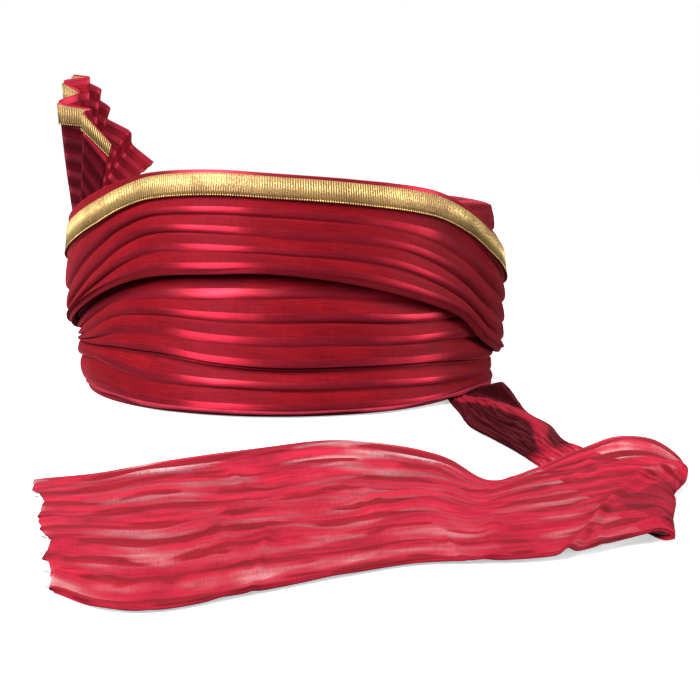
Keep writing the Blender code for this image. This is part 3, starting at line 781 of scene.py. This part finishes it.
def fan_surface():
    """Points of the fan: a row for each step from root to rim, soft folds between flat panels."""
    root_offset = winding_depth(0.6)
    centre = ring_points(FAN_ROOT_TURN, root_offset, levels_at(FAN_ROOT_TURN).middle_top + SEAT_GAP)
    pitch_turn = np.degrees(FAN_ROOT_PITCH / (OPENING_HALF_DEPTH + root_offset))
    s = np.linspace(0, 1, FAN_STEPS)[:, None]
    creases = []
    for k, crease in enumerate(CREASES):
        turn = FAN_ROOT_TURN - (k - (len(CREASES) - 1) / 2) * pitch_turn
        offset = root_offset + crease.outward * FAN_ROOT_SPREAD / 2
        root = ring_points(turn, offset, levels_at(turn).middle_top + SEAT_GAP)
        rim = centre + FAN_REACH * np.array([crease.x, crease.y, crease.z])
        upright = root + np.array([0, 0, 0.75 * (rim[2] - root[2])])
        control = (root + rim) / 2 * (1 - crease.bend) + upright * crease.bend
        creases.append(root * (1 - s) ** 2 + control * 2 * s * (1 - s) + rim * s**2)
    creases = np.array(creases).transpose(1, 0, 2)
    spots = np.linspace(0, len(CREASES) - 1, (len(CREASES) - 1) * PANEL_STEPS + 1)
    i = np.minimum(spots.astype(int), len(CREASES) - 2)
    t = (spots - i)[:, None]
    flat = creases[:, i] * (1 - t) + creases[:, i + 1] * t
    reach = 3 * PANEL_STEPS // 4
    weights = np.exp(-0.5 * (np.arange(-reach, reach + 1) / FOLD_ROUNDING) ** 2)
    before = 2 * flat[:, :1] - flat[:, reach:0:-1]
    after = 2 * flat[:, -1:] - flat[:, -2:-reach - 2:-1]
    padded = np.concatenate([before, flat, after], axis=1)
    return sum(w * padded[:, k:k + flat.shape[1]] for k, w in enumerate(weights / weights.sum()))


def surface_normals(grid):
    """Directions square to a grid of points."""
    return unit(np.cross(np.gradient(grid, axis=0), np.gradient(grid, axis=1)))


def cloth_sheet(name, grid, weave, thickness, material, shift=0.0, shade=None):
    """A closed thin cloth on a grid of points, moved off the grid by shift along its normals; shade is how
    much of the doubled-cloth and painted-shade colour lies at each point of its two sides."""
    rows, columns = grid.shape[:2]
    normals = surface_normals(grid)
    shifts = [shift + side * thickness / 2 for side in (1, -1)]
    points = np.concatenate([(grid + normals * out).reshape(-1, 3) for out in shifts])
    i, j = np.meshgrid(np.arange(rows - 1), np.arange(columns - 1), indexing="ij")
    quad = [(i, j), (i, j + 1), (i + 1, j + 1), (i + 1, j)]
    front = np.stack([a * columns + b for a, b in quad], axis=-1).reshape(-1, 4)
    rim = [(0, j) for j in range(columns)] + [(i, columns - 1) for i in range(1, rows)]
    rim += [(rows - 1, j) for j in range(columns - 2, -1, -1)] + [(i, 0) for i in range(rows - 2, 0, -1)]
    ring = np.array([a * columns + b for a, b in rim])
    following = np.roll(ring, -1)
    back = rows * columns
    edge = np.stack([ring, following, following + back, ring + back], axis=-1)
    faces = np.concatenate([front, front[:, ::-1] + back, edge])
    flat = np.tile(weave.reshape(-1, 2), (2, 1))
    return cloth_mesh(name, points, flat[faces.ravel()], faces.tolist(), material, shade=shade)


def run_lengths(points, axis):
    """Distance along each line of a grid, from its first point."""
    steps = np.linalg.norm(np.diff(points, axis=axis), axis=-1)
    start = np.zeros_like(np.take(steps, [0], axis=axis))
    return np.concatenate([start, np.cumsum(steps, axis=axis)], axis=axis)


fan_grid = fan_surface()
from_rim = run_lengths(fan_grid[::-1], 0)[::-1]
along_rim = np.broadcast_to(run_lengths(fan_grid[-1:], 1), from_rim.shape)
fan_weave = np.stack([along_rim, from_rim], axis=-1)
# Painted shade: on the lace side, the cloth below the lace is darkened in faint crossing bands; the other
# side is left as it is.
shade_bands = 0.88 + 0.1 * np.sin(from_rim / (1.6 * MM))
below_lace_shade = np.clip((from_rim - FAN_LACE_WIDTH) / (2 * MM), 0, 1) * shade_bands
fan_shade = np.stack([below_lace_shade, 0 * below_lace_shade])
fan_values = {
    "Pitch": FAN_STRIPE_PITCH, "Satin": (*FAN_SATIN_LIT, 1), "Sheer": (*FAN_SHEER_LIT, 1), "Satin Metallic": 0.4,
}
fan_finish = striped_cloth("fan_weave", fan_values, doubled_and_shade=FAN_SHADE, sheen=0.14, shine=0.2)
fan = cloth_sheet("fan_cloth", fan_grid, fan_weave, CLOTH, fan_finish, shade=fan_shade)
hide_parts("side_fan")

first = int((from_rim.mean(axis=1) > FAN_LACE_WIDTH + CLOTH_EDGE).sum())
lace_rows = fan_grid[first:FAN_STEPS - 1]
lace_shift = (CLOTH + RIBBON_THICKNESS) / 2 + LACE_GAP
lace_weave = np.zeros((*lace_rows.shape[:2], 2))
fan_ribbon = cloth_sheet("fan_ribbon", lace_rows, lace_weave, RIBBON_THICKNESS, RIBBON_GROUND, lace_shift)
# Painted shade: the fan's lace uses this darker copy of the gilt thread.
fan_gilt_shaded = gilt_thread("fan_gilt_thread", FAN_GILT_SHADED, DULL_GILT)
fan_out = surface_normals(lace_rows)
mid = lace_rows.shape[0] // 2
lace_upward = unit(lace_rows[-1] - lace_rows[0])
lace_widths = np.linalg.norm(lace_rows[-1] - lace_rows[0], axis=1)
ribs_out = lace_shift + RIBBON_THICKNESS / 2 + RIB_LIFT
lace_middle = (lace_rows[-1] + lace_rows[0]) / 2 + fan_out[mid] * ribs_out
fan_ribs = lace_ribs("fan_lace_ribs", lace_middle, lace_upward, fan_out[mid], lace_widths, False, fan_gilt_shaded)
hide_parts("fan_lace")

# Tail. The other free end of the cloth leaves from under the right side, twists, turns back over itself and
# lies on the surface in shallow wrinkles: one thin layer with a rolled hem and a torn end. Geometry Nodes lay
# short loose threads along that end.
TAIL_REACH = 280 * MM
TAIL_WIDTH = 155 * MM
TAIL_LIFT = 13 * MM
TAIL_CLOTH = 0.5 * MM
TAIL_STRIPE_PITCH = 18 * MM
HEM_WIDTH = 3.4 * MM
HEM_RISE = 1.1 * MM
WRINKLES = 190
WRINKLE_SEED, TEAR_SEED, THREAD_SEED = 5, 9, 3
TEETH = 34
TORN_FROM = 0.93
TURN_FOLD = 0.243
TURN_ROW = 7
STRIP_END = 0.135
STRIP_FADE = 12 * MM
CORNER = [(0.1400, -0.2640), (0.1575, -0.2915), (0.1720, -0.2300)]
THREADS = 34
THREAD_RADIUS = 0.11 * MM
LOOSE_SATIN = (0.125, 0.002, 0.006)
LOOSE_SHEER = (0.25, 0.0085, 0.022)
# Dark colour for the strip near the turban and the folded-back corner: partly doubled cloth, partly painted
# shade.
DOUBLED_AND_SHADE_RED = (0.006, 0.0002, 0.0008)
TAIL_ROWS = 400
TAIL_COLUMNS = 120
HEM_COLUMNS = 12
CrossLine = namedtuple("CrossLine", "along out cross width near_lift hem_at hem_lift valley_lift far_lift")
CROSS_LINES = [CrossLine(*row) for row in (
    (-0.010, -0.012, 43, 0.16, 0.00, 0.14, 0.10, 0.18, 0.28),
    (0.018, 0.068, 54, 0.30, 0.02, 0.46, 0.20, 0.12, 0.56),
    (0.035, 0.200, 45, 0.28, 0.06, 0.80, 0.28, 0.20, 0.16),
    (0.067, 0.295, 44, 0.27, 0.06, 0.80, 0.20, 0.14, 0.10),
    (0.092, 0.412, 46, 0.22, 0.06, 0.50, 0.14, 0.10, 0.10),
    (0.150, 0.560, 64, 0.36, 0.06, 0.42, 0.10, 0.08, 0.10),
    (0.213, 0.711, 74, 0.56, 0.06, 0.42, 0.08, 0.08, 0.12),
    (0.232, 0.720, 74, 0.61, 0.14, 0.42, 0.22, 0.30, 0.50),
    (0.208, 0.696, 79, 0.68, 0.34, 0.42, 0.44, 0.62, 0.98),
    (0.154, 0.692, 80, 0.77, 0.24, 0.42, 0.50, 0.52, 0.92),
    (0.078, 0.730, 79, 0.80, 0.16, 0.42, 0.44, 0.50, 0.60),
    (0.008, 0.755, 78, 0.75, 0.10, 0.42, 0.40, 0.46, 0.22),
    (-0.054, 0.771, 80, 0.70, 0.08, 0.42, 0.34, 0.24, 0.02),
    (-0.124, 0.730, 83, 0.86, 0.06, 0.42, 0.40, 0.22, 0.40),
    (-0.247, 0.757, 88, 0.94, 0.06, 0.42, 0.22, 0.44, 0.90),
    (-0.362, 0.788, 93, 1.02, 0.06, 0.42, 0.36, 0.20, 0.66),
    (-0.479, 0.825, 97, 1.08, 0.06, 0.42, 0.18, 0.34, 0.36),
    (-0.565, 0.841, 100, 1.03, 0.08, 0.42, 0.30, 0.14, 0.14),
    (-0.645, 0.829, 105, 0.92, 0.10, 0.42, 0.14, 0.10, 0.04),
)]
hem_share = np.linspace(0, 0.04, HEM_COLUMNS)
tail_share = np.concatenate([hem_share, np.linspace(0.04, 1, TAIL_COLUMNS - HEM_COLUMNS + 1)[1:]])


def wrinkles(along, across):
    """Height of the small creases that the cloth keeps from being tied, at places on it in metres."""
    dice = np.random.default_rng(WRINKLE_SEED)
    height = 0
    for k in range(WRINKLES):
        start, middle = dice.uniform(0.02, 0.48), dice.uniform(0.006, 0.15)
        slant, breadth = dice.uniform(-0.5, 0.5), dice.uniform(1.6, 4.5) * MM
        length = dice.uniform(10, 34) * MM
        rise = dice.uniform(0.3, 1.1) * MM
        far, near = along - start, across - middle
        if k % 4:
            far, near = near, far
        height = height + rise * np.exp(-(((far - slant * near) / breadth) ** 2) - (near / length) ** 2)
    fold = along - TURN_FOLD + 0.35 * (across - TAIL_WIDTH / 2)
    return height + 2.2 * MM * np.exp(-((fold / (2.6 * MM)) ** 2))


def ragged(share):
    """How far the torn end falls short of a straight cut, across the cloth."""
    dice = np.random.default_rng(TEAR_SEED)
    teeth = np.interp(share, np.linspace(0, 1, TEETH), dice.uniform(-1, 1, TEETH)) * 1.3 * MM
    return teeth + 3.5 * MM * bump(share, 0.36, 0.09) + 2.5 * MM * bump(share, 0.78, 0.12)


def turn_edge(share):
    """How far the fold at the turn stands out to the right: a corner, a notch behind it and a swell."""
    rows = np.linspace(0, len(CROSS_LINES) - 1, TAIL_ROWS)[:, None]
    corner, notch, swell = bump(share, 0, 0.3), bump(share, 0.6, 0.15), bump(share, 0.83, 0.15)
    out = 2.1 * MM * corner - 1.8 * MM * notch + 2.9 * MM * swell
    return out * bump(rows, TURN_ROW, 1.2)


def middle_run(grid):
    """How far along the middle of the cloth each row of the tail is."""
    middle = TAIL_COLUMNS // 2
    return run_lengths(grid[:, middle:middle + 1], 0)


def tail_surface():
    """Points of the tail, a row for each step from the turban to the cut end, near edge first."""
    exit_point = ring_points(TAIL_EXIT_TURN, WINDING_OUTSIDE - 0.05 * WINDING_THICKNESS, 0)
    line = CrossLine(*smooth_rows(CROSS_LINES, TAIL_ROWS).T[:, :, None])
    w = tail_share[None, :]
    cross = np.radians(line.cross)
    x = exit_point[0] + TAIL_REACH * line.along + np.cos(cross) * TAIL_WIDTH * line.width * (w - 0.5)
    y = exit_point[1] - TAIL_REACH * line.out + np.sin(cross) * TAIL_WIDTH * line.width * (w - 0.5)
    marks = np.broadcast_arrays(0, line.hem_at, (line.hem_at + 1) / 2, 1)
    lifts = (line.near_lift, line.hem_lift, line.valley_lift, line.far_lift)
    lift = 0
    for k in range(3):
        s = np.clip((w - marks[k]) / np.maximum(marks[k + 1] - marks[k], 1e-6), 0, 1)
        ease = s * s * (3 - 2 * s)
        inside = (w >= marks[k]) & ((w < marks[k + 1]) | (k == 2))
        lift = lift + inside * (lifts[k] * (1 - ease) + lifts[k + 1] * ease)
    hem = HEM_RISE * np.exp(-(((w * TAIL_WIDTH - HEM_WIDTH / 2) / (0.4 * HEM_WIDTH)) ** 2))
    torn = np.clip((np.linspace(0, 1, TAIL_ROWS)[:, None] - TORN_FROM) / (1 - TORN_FROM), 0, 1)
    x = x + torn * ragged(w) + turn_edge(w)
    z = TAIL_LIFT * lift + TAIL_CLOTH / 2 + SEAT_GAP + hem
    grid = np.stack(np.broadcast_arrays(x, y, z), axis=-1)
    grid[..., 2] += wrinkles(middle_run(grid), w * TAIL_WIDTH)
    return grid


tail_grid = tail_surface()
tail_along = np.broadcast_to(middle_run(tail_grid), tail_grid.shape[:2])
tail_across = np.broadcast_to(TAIL_WIDTH * tail_share, tail_grid.shape[:2])
tail_weave = np.stack([tail_along, tail_across], axis=-1)
loose_values = {
    "Pitch": TAIL_STRIPE_PITCH, "Satin": (*LOOSE_SATIN, 1), "Sheer": (*LOOSE_SHEER, 1), "Satin Metallic": 0.1,
    "Openness": 0.5, "Broken Satin": 0.9, "Hem Width": HEM_WIDTH, "Mottle": 0.42,
}
loose = striped_cloth("loose_weave", loose_values, doubled_and_shade=DOUBLED_AND_SHADE_RED, sheen=0.12, shine=0.1)
tail_hem = smooth_rows([[line.hem_at] for line in CROSS_LINES], TAIL_ROWS)
# Painted shade: the strip next to the turban is darkened (partly bunched, doubled cloth, partly painted
# shade), most strongly away from the hem, and the folded-back corner gets a painted doubled layer and its
# shade.
strip = np.clip((STRIP_END - tail_along) / STRIP_FADE, 0, 1)
bunched_and_shade = np.clip((np.abs(tail_share - tail_hem) - 0.09) / 0.08, 0, 1) * strip
folded_corner_and_shade = 1.0
for (ax, ay), (bx, by) in zip(CORNER, CORNER[1:] + CORNER[:1]):
    side = (bx - ax) * (tail_grid[..., 1] - ay) - (by - ay) * (tail_grid[..., 0] - ax)
    folded_corner_and_shade = folded_corner_and_shade * np.clip(0.5 + side / np.hypot(bx - ax, by - ay) / MM, 0, 1)
tail_shade = np.stack([np.maximum.reduce([0.99 * bunched_and_shade, 0.45 * folded_corner_and_shade, 0.3 * strip])] * 2)
tail = cloth_sheet("tail_cloth", tail_grid, tail_weave, TAIL_CLOTH, loose, shade=tail_shade)
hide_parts("tail")


def thread_tree():
    """Geometry Nodes that lay one thin thread at each point, along its heading and as long as its reach."""
    tree, given, wanted = shapes_group("Frayed threads", ("Thread Radius",))
    heading = read_attribute(tree, "heading")
    reach = add_node(tree, "ShaderNodeVectorMath", {0: heading}, operation="LENGTH").outputs["Value"]
    turned = result(tree, "FunctionNodeAlignRotationToVector", {"Vector": heading}, axis="Z")
    threads = set_rods(tree, given["Geometry"], 4, given["Thread Radius"], turned, (1.0, 1.0, reach))
    hand_out(tree, threads, given["Finish"], wanted)
    return tree


def frayed_threads():
    """Short loose threads that stand out of the torn end."""
    dice = np.random.default_rng(THREAD_SEED)
    columns = dice.integers(2, TAIL_COLUMNS - 2, THREADS)
    roots = tail_grid[-1, columns]
    away = unit(tail_grid[-1] - tail_grid[-12])[columns] + dice.uniform(-0.5, 0.5, (THREADS, 3)) * [1, 1, 0.3]
    reach = dice.uniform(1.5, 6, (THREADS, 1)) * MM
    heading = unit(away) * reach
    heading[:, 2] = np.abs(heading[:, 2])
    points, values = roots + heading * 0.45, {"Thread Radius": THREAD_RADIUS, "Finish": WOUND_CLOTH}
    return grown_piece(
        "frayed_threads", points, [], {"heading": heading}, thread_tree(), values
    )


threads = frayed_threads()

# Studio. A pale round floor lies under the turban in white air. A large soft light at the left makes the
# gloss, a soft one above and another at the right fill the shadows, a narrow one at the right draws glints
# along the satin bands, and a last one whitens the floor behind.
FLOOR_RADIUS = 1.7
FLOOR_SIDES = 64
FLOOR_GLOW = 0.5
AIR_LIGHT = 0.11
LAMP_AIM = (0, 0, 0.06)
CAMERA_PLACE = (0.0378, -0.7866, 0.16455)
CAMERA_DIP = 10.61
CAMERA_LENS = 72
floor_data = bpy.data.meshes.new("floor")
angles = np.linspace(0, 2 * np.pi, FLOOR_SIDES, endpoint=False)
rim = [(FLOOR_RADIUS * np.cos(a), FLOOR_RADIUS * np.sin(a), 0) for a in angles]
floor_data.from_pydata(rim, [], [tuple(range(FLOOR_SIDES))])
floor = placed("floor", floor_data)
paper, paper_tree, paper_shader = new_material("studio_paper")
grain = result(paper_tree, "ShaderNodeTexNoise", {"Scale": 40.0, "Detail": 3.0})
tone = mixed(paper_tree, "RGBA", grain, (0.74, 0.74, 0.74, 1), (0.78, 0.78, 0.78, 1))
glow = {"Emission Color": (1, 1, 1, 1), "Emission Strength": FLOOR_GLOW}
feed(paper_tree, paper_shader, {"Base Color": tone, "Roughness": 0.9, **glow})
floor_data.materials.append(paper)
floor.visible_glossy = False
floor.visible_diffuse = False


def soft_light(name, azimuth, elevation, distance, size, watts, aim=LAMP_AIM):
    """A rectangular light that faces aim. azimuth is in degrees from the front, + to the right."""
    lamp = bpy.data.lights.new(name, "AREA")
    lamp.shape = "RECTANGLE"
    lamp.size, lamp.size_y = size
    lamp.energy = watts
    holder = placed(name, lamp)
    a, e = radians(azimuth), radians(elevation)
    away = np.array([np.sin(a) * np.cos(e), -np.cos(a) * np.cos(e), np.sin(e)])
    holder.location = np.array(aim) + away * distance
    holder.rotation_euler = (radians(90) - e, 0, a)


soft_light("key", -34, 34, 1.6, (0.6, 1.1), 72)
soft_light("fill", -10, 72, 2.0, (1.8, 1.4), 8)
soft_light("rim", 74, 14, 1.4, (0.08, 0.7), 8)
soft_light("right_fill", 70, 24, 1.8, (1.0, 0.8), 16)
soft_light("backdrop", 0, 62, 1.9, (3.0, 1.0), 60, aim=(0, 2.3, 0.25))
world = bpy.data.worlds.new("studio_air")
bpy.context.scene.world = world
world.use_nodes = True
background = world.node_tree.nodes["Background"]
seen_air = add_node(world.node_tree, "ShaderNodeLightPath").outputs["Is Camera Ray"]
air = mixed(world.node_tree, "FLOAT", seen_air, AIR_LIGHT, 1.0)
feed(world.node_tree, background, {0: (1, 1, 1, 1), 1: air})

camera_data = bpy.data.cameras.new("camera")
camera_data.lens, camera_data.sensor_width = CAMERA_LENS, 36
camera_data.clip_start = 0.01
camera = placed("camera", camera_data)
camera.location = CAMERA_PLACE
camera.rotation_euler = (radians(90 - CAMERA_DIP), 0, 0)
bpy.context.scene.camera = camera
bpy.context.scene.view_settings.view_transform = "Standard"
